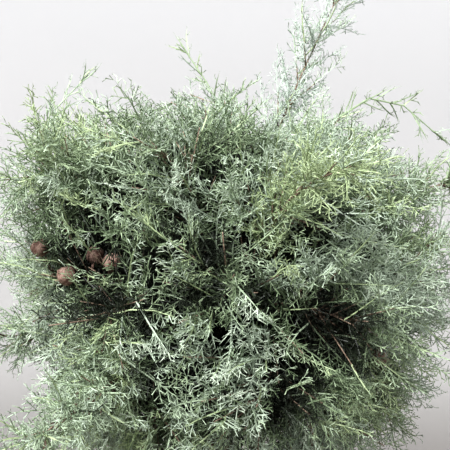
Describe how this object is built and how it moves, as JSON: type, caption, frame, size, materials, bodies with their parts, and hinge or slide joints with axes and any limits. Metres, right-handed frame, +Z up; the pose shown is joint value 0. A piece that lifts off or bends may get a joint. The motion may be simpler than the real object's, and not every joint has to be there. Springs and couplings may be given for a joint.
{
  "type": "potted cypress tree",
  "caption": "Young bushy blue cypress with a short trunk, spreading boughs and feathery grey-green foliage, standing in a plain round clay pot.",
  "frame": {"origin": "middle of the pot's flat underside", "axes": "+Z up along the trunk, -Y towards the front of the plant, +X to the right seen from the front"},
  "size_m": [0.616, 0.6131, 0.9569],
  "materials": {
    "clay": "matt unglazed terracotta",
    "soil": "crumbly potting compost",
    "bark": "red-brown flaking bark",
    "foliage": "grey-green scale leaves"
  },
  "bodies": {
    "root": {"bough_lower_1": "bark", "bough_lower_2": "bark", "bough_lower_3": "bark", "bough_lower_4": "bark", "bough_lower_5": "bark", "bough_middle_1": "bark", "bough_middle_2": "bark", "bough_middle_3": "bark", "bough_middle_4": "bark", "bough_middle_5": "bark", "bough_upper_1": "bark", "bough_upper_2": "bark", "bough_upper_3": "bark", "bough_upper_4": "bark", "foliage_lower_1": "foliage", "foliage_lower_10": "foliage", "foliage_lower_2": "foliage", "foliage_lower_3": "foliage", "foliage_lower_4": "foliage", "foliage_lower_5": "foliage", "foliage_lower_6": "foliage", "foliage_lower_7": "foliage", "foliage_lower_8": "foliage", "foliage_lower_9": "foliage", "foliage_middle_1": "foliage", "foliage_middle_10": "foliage", "foliage_middle_2": "foliage", "foliage_middle_3": "foliage", "foliage_middle_4": "foliage", "foliage_middle_5": "foliage", "foliage_middle_6": "foliage", "foliage_middle_7": "foliage", "foliage_middle_8": "foliage", "foliage_middle_9": "foliage", "foliage_top_1": "foliage", "foliage_top_2": "foliage", "foliage_upper_1": "foliage", "foliage_upper_2": "foliage", "foliage_upper_3": "foliage", "foliage_upper_4": "foliage", "foliage_upper_5": "foliage", "foliage_upper_6": "foliage", "foliage_upper_7": "foliage", "foliage_upper_8": "foliage", "pot": "clay", "shoot_arching": "foliage", "shoot_front": "foliage", "shoot_leader": "foliage", "shoot_left": "foliage", "shoot_left_leader": "foliage", "shoot_low_left": "foliage", "shoot_right": "foliage", "shoot_upper_left": "foliage", "soil": "soil", "trunk": "bark"}
  },
  "joints": []
}
